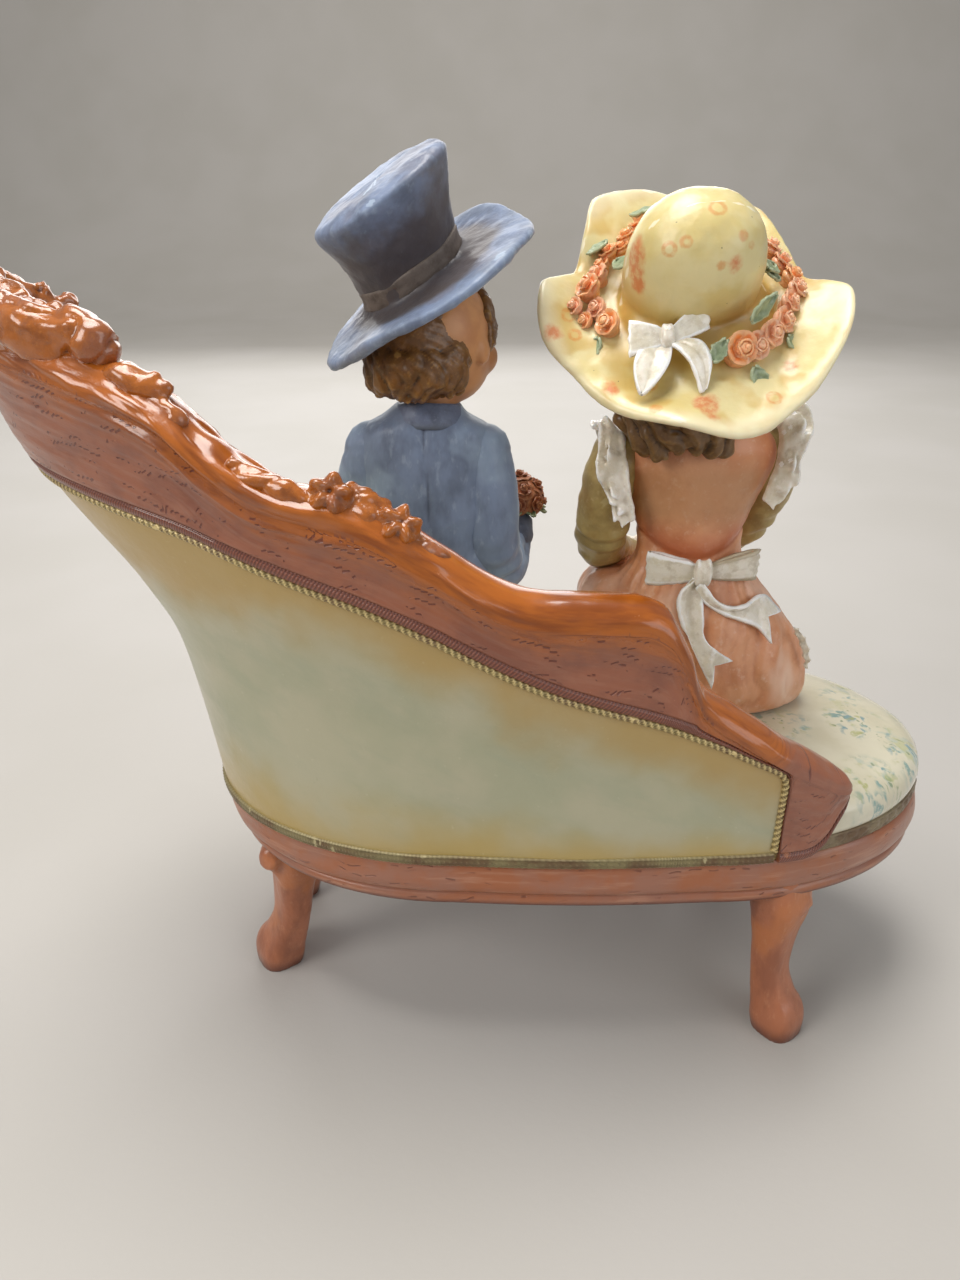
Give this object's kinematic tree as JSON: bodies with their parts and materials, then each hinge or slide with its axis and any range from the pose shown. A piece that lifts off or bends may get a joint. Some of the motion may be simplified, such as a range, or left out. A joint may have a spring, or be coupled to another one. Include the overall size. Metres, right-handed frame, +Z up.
{
  "type": "courting couple figurine",
  "caption": "Painted resin figurine of a boy in a top hat and a girl in a sun hat seated on a carved chaise longue.",
  "frame": {"origin": "middle of the bounding box at the height of the feet's undersides", "axes": "+X towards the raised head end of the chaise, +Y towards its long back rest, +Z up"},
  "size_m": [0.1718, 0.0908, 0.1506],
  "materials": {
    "chaise_paint": "hand-painted cast resin: glossy reddish-brown wood, pale green upholstery, dull gold gimp",
    "boy_paint": "hand-painted cast resin: slate-blue coat and hat, tan skin, brown hair",
    "girl_paint": "hand-painted cast resin: peach dress, pale yellow hat, pearl bows",
    "upholstery_paint": "satin celadon green with an ochre wash at its edges",
    "cushion_paint": "glossy cream with a soft green and yellow leaf pattern",
    "gimp_paint": "dull gold twisted cord and ribbed braid",
    "hat_paint": "slate blue with worn pale edges",
    "sun_hat_paint": "pale straw yellow with orange flower spots",
    "hair_paint": "ochre brown, darker in the grooves",
    "skin_paint": "warm tan with flushed cheeks",
    "trim_paint": "pearl white ribbon and lace",
    "flower_paint": "orange-pink roses and grey-green leaves"
  },
  "bodies": {
    "root": {"chaise_longue": "chaise_paint", "boy": "boy_paint", "girl": "girl_paint"}
  },
  "joints": []
}
